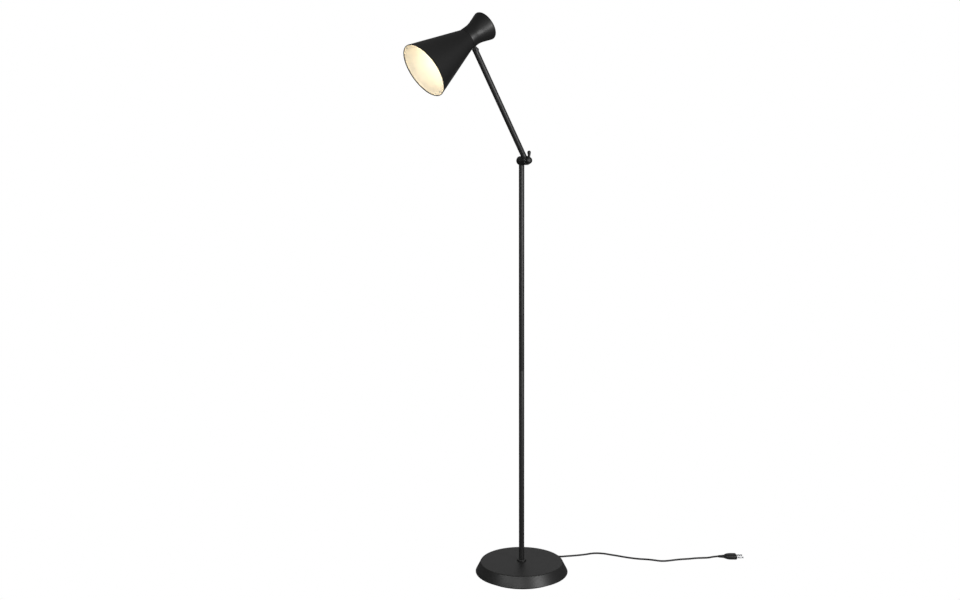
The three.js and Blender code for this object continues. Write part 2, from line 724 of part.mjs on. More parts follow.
function switchBody() {
  const faceZ = REAR_CAP_Z - GAP;
  const bushZ = REAR_Z + 1.5;
  const bore = BUTTON_R + 0.4;
  return revolve(
    [
      [0, SWITCH_Z],
      [SWITCH_R, SWITCH_Z],
      [SWITCH_R, faceZ],
      [SWITCH_BUSH_R, faceZ],
      [SWITCH_BUSH_R, bushZ],
      [bore, bushZ],
      [bore, SWITCH_Z + 6.5],
      [0, SWITCH_Z + 6.5],
    ],
    SIDES,
  );
}

function switchButton() {
  const edge = arc(BUTTON_R - BUTTON_EDGE_R, BUTTON_TIP_Z - BUTTON_EDGE_R, BUTTON_EDGE_R, 0, 90, 4);
  return revolve([[0, BUTTON_FOOT_Z], [BUTTON_R, BUTTON_FOOT_Z], ...edge, [0, BUTTON_TIP_Z]]);
}

add(shade, 'head_bracket', headBracket(), steel);
add(shade, 'shade_cone', shadeCone(), satinBlack);
add(shade, 'rear_shell', rearShell(), satinBlack);
add(shade, 'rear_cap', rearCap(), satinBlack);
add(shade, 'lamp_holder', lampHolder(), blackPlastic);
add(
  shade,
  'holder_ring',
  tube(HOLDER_RING_R, HOLDER_R + GAP, HOLDER_Z - 0.7, CONE_LENGTH - SHADE_WALL - GAP),
  blackPlastic,
);
add(shade, 'bulb_cap', bulbCap(), steel);
add(shade, 'bulb_globe', bulbGlobe(), opalGlass);
add(shade, 'switch_body', switchBody(), blackPlastic);
const switchNutZ = REAR_CAP_Z + SHADE_WALL + GAP;
add(
  shade,
  'switch_nut',
  hexagon(SWITCH_NUT_CORNER_R, SWITCH_BUSH_R + GAP, switchNutZ, switchNutZ + SWITCH_NUT_THICKNESS),
  steel,
);
add(shade, 'switch_button', switchButton(), blackPlastic);

// ---------------------------------------------------------------------------
// Mains cord
// ---------------------------------------------------------------------------

function stadium(halfRun, radius) {
  const outline = new THREE.Shape();
  outline.absarc(halfRun, 0, radius, -Math.PI / 2, Math.PI / 2);
  outline.absarc(-halfRun, 0, radius, Math.PI / 2, (3 * Math.PI) / 2);
  return outline;
}

function cordHank() {
  const depth = HANK_TOP_Z - HANK_Z;
  const outline = stadium(HANK_HALF_RUN, HANK_R);
  return tidy(new THREE.ExtrudeGeometry(outline, { depth, curveSegments: 16, bevelEnabled: false }));
}

function cordTie() {
  const inner = HANK_R + GAP;
  const outer = inner + TIE_THICKNESS;
  const low = HANK_Z - GAP;
  const high = HANK_TOP_Z + GAP;
  return cut(
    block([-TIE_HALF_WIDTH, -outer, low - TIE_THICKNESS], [TIE_HALF_WIDTH, outer, high + TIE_THICKNESS]),
    block([-TIE_HALF_WIDTH - OVER, -inner, low], [TIE_HALF_WIDTH + OVER, inner, high]),
  );
}

function plugBody() {
  const half = PLUG_HALF_WIDTH;
  const end = PLUG_LENGTH;
  const outline = new THREE.Shape();
  outline.moveTo(16, -6);
  outline.lineTo(26, 1.7 - half);
  outline.quadraticCurveTo(30, -half, 34, -half);
  outline.lineTo(end - 1, -half);
  outline.quadraticCurveTo(end, -half, end, 1 - half);
  outline.lineTo(end, half - 1);
  outline.quadraticCurveTo(end, half, end - 1, half);
  outline.lineTo(34, half);
  outline.quadraticCurveTo(30, half, 26, half - 1.7);
  outline.lineTo(16, 6);
  outline.closePath();
  const depth = PLUG_THICKNESS;
  const body = tidy(new THREE.ExtrudeGeometry(outline, { depth, curveSegments: 4, bevelEnabled: false }));
  const boot = revolve([[0, 2 * GAP], [3.3, 2 * GAP], [5.4, 20], [0, 20]], COARSE_SIDES).rotateY(Math.PI / 2);
  return join(body.translate(0, 0, -depth / 2), boot);
}

/** Round plug pin along X with a chamfered end. */
function plugPin() {
  const foot = PLUG_LENGTH + GAP;
  const end = foot + 19;
  const profile = [[0, foot], [PLUG_PIN_R, foot], [PLUG_PIN_R, end - 1.3], [1.2, end], [0, end]];
  return revolve(profile, COARSE_SIDES).rotateY(Math.PI / 2);
}

const cord = new THREE.Group();
cord.rotation.z = CORD_ANGLE;
lamp.add(cord);
const hank = new THREE.Group();
hank.position.set(HANK_X, HANK_Y, 0);
cord.add(hank);
const plug = new THREE.Group();
plug.position.set(...LEAD_OUT.at(-1));
plug.rotation.z = PLUG_ANGLE;
cord.add(plug);

add(cord, 'cord_lead_in', sweep(LEAD_IN, CORD_R, 8, 10), cordRubber);
add(hank, 'cord_hank', cordHank(), cordRubber).position.z = HANK_Z;
add(hank, 'cord_tie', cordTie(), blackPlastic);
add(cord, 'cord_lead_out', sweep(LEAD_OUT, CORD_R, 8, 50), cordRubber);
add(plug, 'plug_body', plugBody(), blackPlastic);
for (const [letter, side] of [['a', -1], ['b', 1]]) {
  add(plug, `plug_pin_${letter}`, plugPin().translate(0, (side * PIN_SPACING) / 2, 0), steel);
}

export default lamp;
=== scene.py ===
"""Adjustable arm floor lamp: the visible pieces, their materials, the lights and the camera.

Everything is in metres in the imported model's frame: +Z up, the foot's underside at Z = 0 on the
pole's axis, the arm and shade leaning towards -X, every tilt axis along Y. Profiles are written in
millimetres.
"""

import json
import math

import bmesh
import bpy
from mathutils import Matrix, Vector


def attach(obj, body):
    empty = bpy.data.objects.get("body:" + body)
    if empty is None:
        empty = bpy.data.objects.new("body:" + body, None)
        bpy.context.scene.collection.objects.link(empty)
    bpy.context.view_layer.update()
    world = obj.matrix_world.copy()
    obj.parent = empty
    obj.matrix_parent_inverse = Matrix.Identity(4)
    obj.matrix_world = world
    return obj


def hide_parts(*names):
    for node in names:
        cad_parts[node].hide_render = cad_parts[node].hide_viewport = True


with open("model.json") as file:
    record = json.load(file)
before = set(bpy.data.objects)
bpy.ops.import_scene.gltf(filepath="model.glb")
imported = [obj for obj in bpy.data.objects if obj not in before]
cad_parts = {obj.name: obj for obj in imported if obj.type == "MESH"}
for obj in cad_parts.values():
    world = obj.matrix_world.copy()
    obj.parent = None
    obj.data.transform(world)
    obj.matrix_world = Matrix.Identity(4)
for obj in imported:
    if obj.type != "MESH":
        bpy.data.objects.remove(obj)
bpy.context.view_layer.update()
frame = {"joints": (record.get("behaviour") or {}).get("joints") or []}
JOINTS = {joint["name"]: joint for joint in frame["joints"]}

MM = 0.001
GAP = 0.3

# Turn of the cord's layout on the floor, about the pole
CORD_TURN = Matrix.Rotation(math.radians(-33.33), 4, "Z")


# ---------------------------------------------------------------------------
# Camera
# ---------------------------------------------------------------------------


def add_camera():
    """Eye-level camera in front of the lamp, turned a little to the left and tipped a little down."""
    distance, height = 2.7934, 1.0858
    pitch, yaw, roll = 0.1162, -0.0397, -0.0045
    ahead = Vector((math.sin(yaw), math.cos(yaw), 0))
    across = Vector((math.cos(yaw), -math.sin(yaw), 0))
    up = Vector((0, 0, 1))
    look = ahead * math.cos(pitch) - up * math.sin(pitch)
    top = ahead * math.sin(pitch) + up * math.cos(pitch)
    right = across * math.cos(roll) + top * math.sin(roll)
    crown = top * math.cos(roll) - across * math.sin(roll)
    turned = Matrix((right, crown, -look)).transposed().to_4x4()
    data = bpy.data.cameras.new("camera")
    data.sensor_width = 36
    data.lens = 39.52
    camera = bpy.data.objects.new("camera", data)
    camera.matrix_world = CORD_TURN @ Matrix.Translation((0, -distance, height)) @ turned
    bpy.context.scene.collection.objects.link(camera)
    bpy.context.scene.camera = camera


# ---------------------------------------------------------------------------
# Materials
# ---------------------------------------------------------------------------


def new_material(name):
    """Material with a Principled shader, returned with its nodes, its links and the shader."""
    material = bpy.data.materials.new(name)
    material.use_nodes = True
    nodes = material.node_tree.nodes
    nodes.clear()
    shader = nodes.new("ShaderNodeBsdfPrincipled")
    output = nodes.new("ShaderNodeOutputMaterial")
    material.node_tree.links.new(shader.outputs["BSDF"], output.inputs["Surface"])
    return material, nodes, material.node_tree.links, shader


def noise(nodes, links, scale, detail=4, rough=0.55, stretch=None):
    """Noise in object space. Scale is per metre, and stretch lengthens the grain along the axes."""
    where = nodes.new("ShaderNodeTexCoord").outputs["Object"]
    if stretch:
        mapping = nodes.new("ShaderNodeMapping")
        mapping.inputs["Scale"].default_value = stretch
        links.new(where, mapping.inputs["Vector"])
        where = mapping.outputs["Vector"]
    texture = nodes.new("ShaderNodeTexNoise")
    texture.inputs["Scale"].default_value = scale
    texture.inputs["Detail"].default_value = detail
    texture.inputs["Roughness"].default_value = rough
    links.new(where, texture.inputs["Vector"])
    return texture.outputs["Fac"]


def spread(nodes, links, value, low, high, start=0.3, end=0.7):
    """Value mapped from start..end to low..high."""
    ranged = nodes.new("ShaderNodeMapRange")
    for name, number in (("From Min", start), ("From Max", end), ("To Min", low), ("To Max", high)):
        ranged.inputs[name].default_value = number
    links.new(value, ranged.inputs["Value"])
    return ranged.outputs["Result"]


def tint(nodes, links, value, stops):
    """Colour ramp over (position, (r, g, b)) stops."""
    ramp = nodes.new("ShaderNodeValToRGB")
    elements = ramp.color_ramp.elements
    for element, (position, colour) in zip(elements, (stops[0], stops[-1])):
        element.position = position
        element.color = (*colour, 1)
    for position, colour in stops[1:-1]:
        elements.new(position).color = (*colour, 1)
    links.new(value, ramp.inputs["Fac"])
    return ramp.outputs["Color"]


def bumps(nodes, links, shader, layers):
    """Stacked bump layers of (height, distance in metres, strength)."""
    normal = None
    for height, distance, strength in layers:
        bump = nodes.new("ShaderNodeBump")
        bump.inputs["Distance"].default_value = distance
        bump.inputs["Strength"].default_value = strength
        links.new(height, bump.inputs["Height"])
        if normal:
            links.new(normal, bump.inputs["Normal"])
        normal = bump.outputs["Normal"]
    links.new(normal, shader.inputs["Normal"])


def grey(level):
    return (level, level, level)


def worn_edges(nodes, links):
    """Mask that is 1 on convex edges."""
    point = nodes.new("ShaderNodeNewGeometry").outputs["Pointiness"]
    return spread(nodes, links, point, 0, 1, 0.52, 0.6)


def lacquer(name, level, rough):
    """Fine powder coat: even black with a soft grain, faint mottling and slightly rubbed edges."""
    material, nodes, links, shader = new_material(name)
    mottle = noise(nodes, links, 9, 5)
    fine = noise(nodes, links, 620, 3)
    grain = noise(nodes, links, 1900, 2, 0.6)
    texture = 0.22
    base = tint(nodes, links, mottle, [(0.3, grey(level * 0.86)), (0.7, grey(level * 1.12))])
    mix = nodes.new("ShaderNodeMix")
    mix.data_type = "RGBA"
    links.new(spread(nodes, links, worn_edges(nodes, links), 0, 0.35, 0, 1), mix.inputs["Factor"])
    links.new(base, mix.inputs["A"])
    mix.inputs["B"].default_value = (*grey(level * 2.2), 1)
    links.new(mix.outputs["Result"], shader.inputs["Base Color"])
    links.new(spread(nodes, links, fine, rough - 0.05, rough + 0.06), shader.inputs["Roughness"])
    shader.inputs["Specular IOR Level"].default_value = 0.5
    bumps(nodes, links, shader, [(grain, 0.00002, texture), (fine, 0.00004, texture * 0.6)])
    return material


def moulded(name, level, rough=0.45):
    """Black moulded plastic or rubber with a satin skin."""
    material, nodes, links, shader = new_material(name)
    mottle = noise(nodes, links, 60, 4)
    fine = noise(nodes, links, 1500, 3)
    base = tint(nodes, links, mottle, [(0.32, grey(level * 0.8)), (0.68, grey(level * 1.25))])
    links.new(base, shader.inputs["Base Color"])
    links.new(spread(nodes, links, mottle, rough - 0.07, rough + 0.08), shader.inputs["Roughness"])
    bumps(nodes, links, shader, [(fine, 0.00004, 0.3)])
    return material


def plated(name, colour, rough=0.28):
    """Zinc-plated or nickel-plated steel with a faint cloudiness."""
    material, nodes, links, shader = new_material(name)
    cloud = noise(nodes, links, 140, 5)
    scratch = noise(nodes, links, 900, 3, 0.6)
    low = tuple(0.82 * c for c in colour)
    links.new(tint(nodes, links, cloud, [(0.3, low), (0.7, colour)]), shader.inputs["Base Color"])
    shader.inputs["Metallic"].default_value = 1
    links.new(spread(nodes, links, scratch, rough - 0.08, rough + 0.14), shader.inputs["Roughness"])
    bumps(nodes, links, shader, [(scratch, 0.00003, 0.35)])
    return material


def cast(name):
    """Rough grey iron casting."""
    material, nodes, links, shader = new_material(name)
    lumps = noise(nodes, links, 220, 6, 0.65)
    stops = [(0.25, (0.035, 0.035, 0.038)), (0.6, (0.075, 0.073, 0.072)), (0.85, (0.11, 0.085, 0.07))]
    links.new(tint(nodes, links, lumps, stops), shader.inputs["Base Color"])
    shader.inputs["Metallic"].default_value = 0.5
    links.new(spread(nodes, links, lumps, 0.6, 0.85), shader.inputs["Roughness"])
    bumps(nodes, links, shader, [(lumps, 0.0006, 0.7)])
    return material


def felted(name):
    """Short black fibres of a foot pad."""
    material, nodes, links, shader = new_material(name)
    fibres = noise(nodes, links, 900, 6, 0.75, (1, 0.35, 1))
    stops = [(0.3, grey(0.006)), (0.75, grey(0.03))]
    links.new(tint(nodes, links, fibres, stops), shader.inputs["Base Color"])
    shader.inputs["Roughness"].default_value = 0.95
    shader.inputs["Sheen Weight"].default_value = 0.3
    bumps(nodes, links, shader, [(fibres, 0.0004, 0.8)])
    return material


def inner_lacquer(name):
    """Warm white lacquer inside the shade, slightly uneven as sprayed."""
    material, nodes, links, shader = new_material(name)
    mottle = noise(nodes, links, 14, 4)
    fine = noise(nodes, links, 900, 3)
    stops = [(0.3, (0.87, 0.83, 0.74)), (0.7, (0.91, 0.88, 0.80))]
    links.new(tint(nodes, links, mottle, stops), shader.inputs["Base Color"])
    links.new(spread(nodes, links, fine, 0.5, 0.62), shader.inputs["Roughness"])
    bumps(nodes, links, shader, [(fine, 0.00001, 0.15)])
    return material


def opal(name, strength):
    """Lit opal glass with a faint cloudy warm tint."""
    material, nodes, links, shader = new_material(name)
    cloud = noise(nodes, links, 40, 3)
    stops = [(0.3, (1.0, 0.88, 0.68)), (0.7, (1.0, 0.92, 0.76))]
    colour = tint(nodes, links, cloud, stops)
    links.new(colour, shader.inputs["Base Color"])
    links.new(colour, shader.inputs["Emission Color"])
    shader.inputs["Emission Strength"].default_value = strength
    links.new(spread(nodes, links, cloud, 0.2, 0.3), shader.inputs["Roughness"])
    return material


BLACK = lacquer("black_lacquer", 0.012, 0.44)
HEAD_BLACK = lacquer("shade_lacquer", 0.012, 0.42)
PLASTIC = moulded("black_plastic", 0.010)
CORD = moulded("cord_rubber", 0.010, 0.5)
STEEL = plated("plated_steel", (0.60, 0.61, 0.63))
DARK_STEEL = plated("blackened_steel", (0.10, 0.10, 0.105), 0.34)
IRON = cast("cast_iron")
FELT = felted("felt")
WHITE = inner_lacquer("white_lacquer")
OPAL = opal("opal_glass", 6.6)
GLASS = opal("opal_glass_inside", 0)
LEAD = moulded("white_lead", 0.55)

# ---------------------------------------------------------------------------
# Mesh helpers
# ---------------------------------------------------------------------------


def shade_smooth(obj, angle=32):
    mesh = obj.data
    mesh.polygons.foreach_set("use_smooth", [True] * len(mesh.polygons))
    mesh.set_sharp_from_angle(angle=math.radians(angle))
    mesh.update()


def finish_piece(obj, material, body, replaces=()):
    if material:
        obj.data.materials.clear()
        obj.data.materials.append(material)
    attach(obj, body)
    if replaces:
        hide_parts(*replaces)
    return obj


def from_bmesh(name, bm, place=Matrix()):
    """Object whose mesh is in the row's frame. The bmesh is in millimetres."""
    bmesh.ops.remove_doubles(bm, verts=bm.verts, dist=1e-4)
    bmesh.ops.recalc_face_normals(bm, faces=bm.faces)
    bmesh.ops.scale(bm, vec=(MM, MM, MM), verts=bm.verts)
    bm.transform(place)
    if place.determinant() < 0:
        bmesh.ops.reverse_faces(bm, faces=bm.faces)
    mesh = bpy.data.meshes.new(name)
    bm.to_mesh(mesh)
    bm.free()
    obj = bpy.data.objects.new(name, mesh)
    bpy.context.scene.collection.objects.link(obj)
    shade_smooth(obj)
    return obj


def eased(profile, closed=False, steps=5):
    """Profile whose corners (across, along, radius) are rounded. A corner with no radius stays sharp."""
    points = []
    count = len(profile)
    for i, corner in enumerate(profile):
        here = Vector(corner[:2])
        radius = corner[2] if len(corner) > 2 else 0
        if not radius or (not closed and i in (0, count - 1)):
            points.append(tuple(here))
            continue
        before = Vector(profile[i - 1][:2]) - here
        after = Vector(profile[(i + 1) % count][:2]) - here
        half = before.angle(after) / 2
        run = min(radius / math.tan(half), before.length * 0.49, after.length * 0.49)
        radius = run * math.tan(half)
        middle = here + (before.normalized() + after.normalized()).normalized() * (radius / math.sin(half))
        start = here + before.normalized() * run - middle
        sweep = math.pi - 2 * half
        turn = 1 if before.x * after.y - before.y * after.x < 0 else -1
        for k in range(steps + 1):
            angle = turn * sweep * k / steps
            spin = Matrix.Rotation(angle, 2)
            points.append(tuple(middle + spin @ start))
    return points


def arc(across, along, radius, start, end, steps):
    """Points on an arc, angles in degrees."""
    return [
        (
            across + radius * math.cos(math.radians(start + (end - start) * i / steps)),
            along + radius * math.sin(math.radians(start + (end - start) * i / steps)),
        )
        for i in range(steps + 1)
    ]


def lathe_bmesh(profile, segments=96, closed=False):
    """Surface of revolution about Z. An open profile starts and ends on the axis."""
    bm = bmesh.new()
    rings = []
    for across, along in profile:
        if abs(across) < 1e-6:
            rings.append([bm.verts.new((0, 0, along))])
            continue
        rings.append(
            [
                bm.verts.new(
                    (
                        across * math.cos(2 * math.pi * k / segments),
                        across * math.sin(2 * math.pi * k / segments),
                        along,
                    )
                )
                for k in range(segments)
            ]
        )
    pairs = list(zip(rings, rings[1:]))
    if closed:
        pairs.append((rings[-1], rings[0]))
    for low, high in pairs:
        if len(low) == len(high) == 1:
            continue
        for k in range(segments):
            after = (k + 1) % segments
            corners = [low[k % len(low)], low[after % len(low)]]
            corners += [high[after % len(high)], high[k % len(high)]]
            distinct = list(dict.fromkeys(corners))
            if len(distinct) > 2:
                bm.faces.new(distinct)
    return bm


def lathe(name, profile, place=Matrix(), segments=96, closed=False):
    return from_bmesh(name, lathe_bmesh(profile, segments, closed), place)


def tube(name, radius, bore, start, end, place=Matrix(), ease=0.15, segments=72):
    """Tube along Z with eased ends."""
    corners = [(bore, start), (radius, start, ease), (radius, end, ease), (bore, end)]
    return lathe(name, eased(corners, closed=True), place, segments, closed=True)


def prism_bmesh(outline, low, high):
    """Outline in X and Y, extruded along Z."""
    bm = bmesh.new()
    bottom = [bm.verts.new((x, y, low)) for x, y in outline]
    top = [bm.verts.new((x, y, high)) for x, y in outline]
    bm.faces.new(bottom[::-1])
    bm.faces.new(top)
    for k in range(len(outline)):
        after = (k + 1) % len(outline)
        bm.faces.new((bottom[k], bottom[after], top[after], top[k]))
    return bm


def loft(name, sections, place):
    """Skin over superellipse sections (x, half width, half height, power) along X, closed at both ends."""
    sides = 56
    bm = bmesh.new()
    rings = []
    for x, wide, tall, power in sections:
        ring = []
        for k in range(sides):
            angle = 2 * math.pi * k / sides
            c, s = math.cos(angle), math.sin(angle)
            ring.append(
                bm.verts.new(
                    (
                        x,
                        wide * math.copysign(abs(c) ** (2 / power), c),
                        tall * math.copysign(abs(s) ** (2 / power), s),
                    )
                )
            )
        rings.append(ring)
    for low, high in zip(rings, rings[1:]):
        for k in range(sides):
            after = (k + 1) % sides
            bm.faces.new((low[k], low[after], high[after], high[k]))
    bm.faces.new(rings[0][::-1])
    bm.faces.new(rings[-1])
    return from_bmesh(name, bm, place)


def applied(obj):
    """Turn the object's modifiers into its mesh."""
    depsgraph = bpy.context.evaluated_depsgraph_get()
    baked = bpy.data.meshes.new_from_object(obj.evaluated_get(depsgraph), depsgraph=depsgraph)
    old = obj.data
    obj.modifiers.clear()
    obj.data = baked
    bpy.data.meshes.remove(old)
    return obj


def combine(obj, tools, operation):
    """Boolean with each tool in turn; the tools are used up."""
    for tool in tools:
        change = obj.modifiers.new("boolean", "BOOLEAN")
        change.object = tool
        change.operation = operation
        change.solver = "EXACT"
        applied(obj)
        data = tool.data
        bpy.data.objects.remove(tool)
        bpy.data.meshes.remove(data)
    shade_smooth(obj)
    return obj


def soften(obj, voxel, rounds=3):
    """Fine remesh that rounds the meeting edges of joined shapes."""
    remesh = obj.modifiers.new("remesh", "REMESH")
    remesh.mode = "VOXEL"
    remesh.voxel_size = voxel * MM
    smooth = obj.modifiers.new("smooth", "SMOOTH")
    smooth.factor = 0.5
    smooth.iterations = rounds
    applied(obj)
    shade_smooth(obj, 60)
    return obj


def along_y(at=(0, 0, 0)):
    """Place for a profile that turns about Y: its along direction becomes +Y."""
    return Matrix.Translation(Vector(at)) @ Matrix.Rotation(-math.pi / 2, 4, "X")


# Place for an outline drawn across and along a piece: its extrusion runs along Y
SIDEWAYS = Matrix.Rotation(math.pi / 2, 4, "X")


def hexagon(radius):
    return [
        (radius * math.cos(math.radians(60 * k)), radius * math.sin(math.radians(60 * k))) for k in range(6)
    ]


def straight(start, end, steps=24):
    """Evenly spaced points from start to end."""
    return [
        (start[0] + (end[0] - start[0]) * k / steps, start[1] + (end[1] - start[1]) * k / steps)
        for k in range(steps + 1)
    ]


# ---------------------------------------------------------------------------
# Mains cord
# ---------------------------------------------------------------------------

CORD_RADIUS = 2.5
HANK_MIDDLE = (3, 151.5)
HALF_RUN = 37.5
FLOOR_LAYER, UPPER_LAYER = 3.7, 8.7
TRACKS = {"inner": 15, "outer": 20, "last": 25}

LEAD_IN = [
    (-72.1, 124.9, 15), (-75.7, 131.2, 14.4), (-80.4, 139.3, 11.9), (-83.2, 148.1, 8.8),
    (-82, 157.4, 6), (-77, 165.2, 4.4), (-69.2, 170.2, 3.8), (-61, 171.5, 3.7), (-48, 171.5, 3.7),
]  # fmt: skip
LEAD_OUT = [
    (57.4, 175.5, 3.6), (67.5, 172.4, 3.3), (76.5, 165.6, 3), (83.5, 156, 2.7), (90.3, 146, 2.6),
    (98, 137.8, 2.6), (107, 133.2, 2.6), (116, 132.8, 2.6), (126, 135.4, 2.6), (148, 140.4, 2.6),
    (171, 147, 2.6), (186, 152.5, 2.6), (200, 158.8, 2.6), (214, 162.3, 2.6), (228, 161.7, 2.6),
    (241, 158.4, 2.6), (255, 152, 2.6), (274, 143.6, 2.6), (296, 133, 2.6), (316, 125.2, 2.6),
    (335, 119.8, 2.6), (351, 117.5, 2.6), (364, 115, 2.6), (379, 110, 2.6), (392, 105.6, 2.6),
    (404, 105.2, 2.6), (418, 108.6, 2.6), (435, 114.5, 2.6), (453, 119.8, 2.6), (476, 124.3, 2.6),
    (497, 130, 2.6), (515, 132.7, 2.6), (533, 133.8, 3.2), (547, 134.3, 5.6), (560, 134.7, 7),
]  # fmt: skip


def beside(distance):
    """Rise that keeps a turn one diameter from a neighbour this far off to its side."""
    return math.sqrt(max(0, (2 * CORD_RADIUS) ** 2 - distance**2))


def hank_points():
    """Four turns in two layers, wound clockwise from above, ending on a run outside the far side."""
    inner, outer, last = TRACKS["inner"], TRACKS["outer"], TRACKS["last"]
    spiral = (inner + outer) / 2
    offset = spiral - inner
    points = []

    def run(direction, track, height):
        for k in range(6):
            points.append((direction * HALF_RUN * (k / 3 - 1), direction * track, height))

    def end_turn(side, start, finish, height):
        """Half turn at the right (side 1) or left (side -1) end, from across = start to across = finish."""
        radius, middle = abs(finish - start) / 2, (start + finish) / 2
        for k in range(10):
            angle = math.pi * k / 10
            across = middle + side * radius * math.cos(angle)
            points.append((side * (HALF_RUN + radius * math.sin(angle)), across, height(angle)))

    def flat(height):
        return lambda angle: height

    def climb(angle):
        gap = spiral - math.sqrt(inner**2 + offset**2 - 2 * inner * offset * math.cos(angle))
        return FLOOR_LAYER + beside(gap)

    def hump(angle):
        gap = math.sqrt(spiral**2 + offset**2 - 2 * spiral * offset * math.cos(angle)) - inner
        return climb(angle) + beside(gap)

    plan = [
        (outer, FLOOR_LAYER, inner, flat(FLOOR_LAYER)),
        (inner, FLOOR_LAYER, inner, climb),
        (inner, UPPER_LAYER, outer, hump),
        (outer, UPPER_LAYER, last, flat(UPPER_LAYER)),
    ]
    for track, height, onto, rise in plan:
        run(1, track, height)
        end_turn(1, track, -track, flat(height))
        run(-1, track, height)
        end_turn(-1, -track, onto, rise)
    for k in range(8):
        part = min(1, k / 4.4)
        drop = part * part * (3 - 2 * part)
        points.append((HALF_RUN * (2 * k / 7 - 1), last, UPPER_LAYER + (FLOOR_LAYER - UPPER_LAYER) * drop))
    return [(HANK_MIDDLE[0] + x, HANK_MIDDLE[1] + y, z) for x, y, z in points]


def add_cord():
    route = [CORD_TURN @ (Vector(p) * MM) for p in LEAD_IN + hank_points() + LEAD_OUT]
    data = bpy.data.curves.new("mains_cord", "CURVE")
    data.dimensions = "3D"
    data.bevel_depth = CORD_RADIUS * MM
    data.bevel_resolution = 5
    data.resolution_u = 5
    data.use_fill_caps = True
    spline = data.splines.new("BEZIER")
    spline.bezier_points.add(len(route) - 1)
    for point, where in zip(spline.bezier_points, route):
        point.co = where
        point.handle_left_type = point.handle_right_type = "AUTO"
    cord = bpy.data.objects.new("mains_cord", data)
    bpy.context.scene.collection.objects.link(cord)
    finish_piece(cord, CORD, "stand", ["cord_lead_in", "cord_hank", "cord_lead_out"])
    return cord, route[0]


def add_plug():
    """Flat two-pin plug with a ribbed boot, lying past the end of the cord's visible run."""
    end = Vector(LEAD_OUT[-1])
    place = CORD_TURN @ Matrix.Translation(end * MM) @ Matrix.Rotation(math.radians(1.5), 4, "Z")
    boot = [(0.6, 3.0, 3.0, 2), (1.2, 3.35, 3.35, 2)]
    for k in range(5):
        start, size = 2.4 + 3.1 * k, 3.45 + 0.32 * k
        boot += [(start, size - 0.5, size - 0.5, 2), (start + 0.5, size, size, 2)]
        boot += [(start + 1.9, size + 0.12, size + 0.12, 2), (start + 2.4, size - 0.35, size - 0.35, 2)]
    body = [
        (18.2, 5.4, 5.2, 2.1),
        (20.5, 7.6, 5.9, 2.4),
        (23.5, 9.8, 6.4, 2.8),
        (27, 11.8, 6.7, 3.2),
        (31, 12.9, 6.8, 3.6),
        (36, 13.2, 6.8, 3.8),
        (48, 13.2, 6.8, 3.8),
        (50.6, 13.0, 6.7, 3.8),
        (51.6, 12.5, 6.2, 3.8),
        (52, 11.6, 5.4, 3.8),
    ]
    plug = loft("plug", boot + body, place)
    finish_piece(plug, PLASTIC, "stand", ["plug_body"])
    pieces = [plug]
    for letter, side in (("a", -1), ("b", 1)):
        profile = eased([(0, 51), (2, 51), (2, 70, 1.2), (1.1, 71.3, 0.5), (0, 71.3)])
        pin = lathe(
            f"plug_pin_{letter}_fine",
            profile,
            place @ Matrix.Translation((0, side * 9.2 * MM, 0)) @ Matrix.Rotation(math.pi / 2, 4, "Y"),
            32,
        )
        pieces.append(finish_piece(pin, STEEL, "stand", [f"plug_pin_{letter}"]))
    return pieces


def add_tie():
    """Flat strap round the middle of the hank, with a turned-over end."""
    low, high, half, thick = 0.95, 11.45, 25.25, 0.8

    def loop(grown, radius):
        wide, bottom, top = half + grown, low - grown, high + grown
        corners = [(-wide, bottom, radius), (wide, bottom, radius), (wide, top, radius), (-wide, top, radius)]
        return eased(corners, closed=True, steps=6)

    outline, outer = loop(0, 3), loop(thick, 3.5)
    bm = bmesh.new()
    rings = []
    for side in (-5, 5):
        rings.append([bm.verts.new((side, y, z)) for y, z in outline])
        rings.append([bm.verts.new((side, y, z)) for y, z in outer])
    near_in, near_out, far_in, far_out = rings
    for a, b in ((near_in, near_out), (near_out, far_out), (far_out, far_in), (far_in, near_in)):
        for k in range(len(a)):
            after = (k + 1) % len(a)
            bm.faces.new((a[k], a[after], b[after], b[k]))
    place = CORD_TURN @ Matrix.Translation((HANK_MIDDLE[0] * MM, (HANK_MIDDLE[1] + 2.5) * MM, 0))
    tie = from_bmesh("hank_tie", bm, place)
    return finish_piece(tie, PLASTIC, "stand", ["cord_tie"])


def add_gland():
    """Ribbed strain relief that sticks out of the back of the base's cover."""
    turn = Matrix.Rotation(math.radians(-3.33), 4, "Z")
    profile = [(0, 112), (6.3, 112), (6.3, 116.6), (4.15, 116.9), (4.15, 123.4), (6.6, 123.8)]
    radius, start = 6.6, 126.4
    for _ in range(5):
        profile += [(radius, start), (radius - 0.75, start + 0.5), (radius - 0.85, start + 1.3)]
        radius -= 0.55
        start += 3.1
        profile += [(radius + 0.1, start - 1.2)]
    profile += [(3.5, 142.2), (3.2, 143.9), (0, 143.9)]
    gland = lathe("cord_gland_fine", profile, turn @ along_y((0, 0, 15 * MM)), 48)
    return finish_piece(gland, PLASTIC, "stand", ["cord_gland"])


add_camera()
cord, cord_exit = add_cord()
gland = add_gland()
tie = add_tie()
plug_pieces = add_plug()

# ---------------------------------------------------------------------------
# Base
# ---------------------------------------------------------------------------


RIM_R, RIM_Z = 127, 9.4
TOP_R, TOP_Z = 112.3, 38


def dome(radius):
    """Height of the cover's slightly domed top."""
    return TOP_Z + 2 * (1 - (radius / TOP_R) ** 2)


